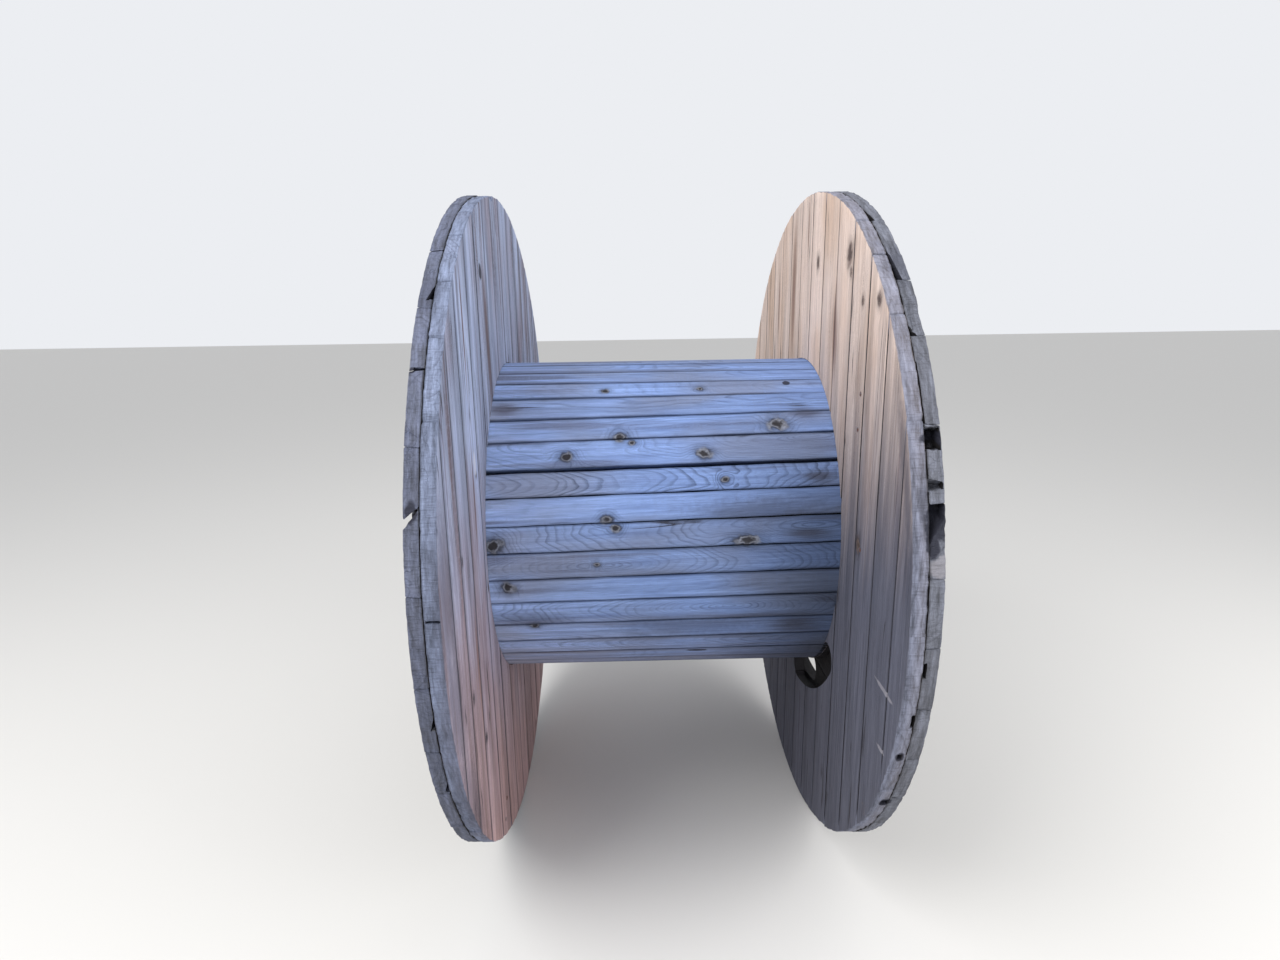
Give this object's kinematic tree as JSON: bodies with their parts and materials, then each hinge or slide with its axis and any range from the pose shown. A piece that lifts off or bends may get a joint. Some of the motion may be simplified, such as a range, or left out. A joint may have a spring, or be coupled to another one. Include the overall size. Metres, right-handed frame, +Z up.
{
  "type": "wooden cable drum",
  "caption": "Large weathered wooden cable drum: two round flanges of crossed boards on a barrel of staves, lying on its flange rims.",
  "frame": {"origin": "on the ground under the middle of the barrel, half way between the flanges, where the drum lies on its rims", "axes": "+X along the arbor towards the flange with the start hole, -Y the front seen in the picture, +Z up"},
  "size_m": [1.05, 1.8, 1.8],
  "materials": {
    "flange_boards": "weathered bare softwood, matt",
    "barrel_staves": "weathered silver-grey softwood, matt",
    "tie_steel": "dull zinc with rust"
  },
  "bodies": {
    "root": {"left_inner_boards": "flange_boards", "left_outer_boards": "flange_boards", "right_inner_boards": "flange_boards", "right_outer_boards": "flange_boards", "barrel_staves": "barrel_staves", "tie_rods": "tie_steel", "rod_washers": "tie_steel", "rod_nuts": "tie_steel"}
  },
  "joints": []
}
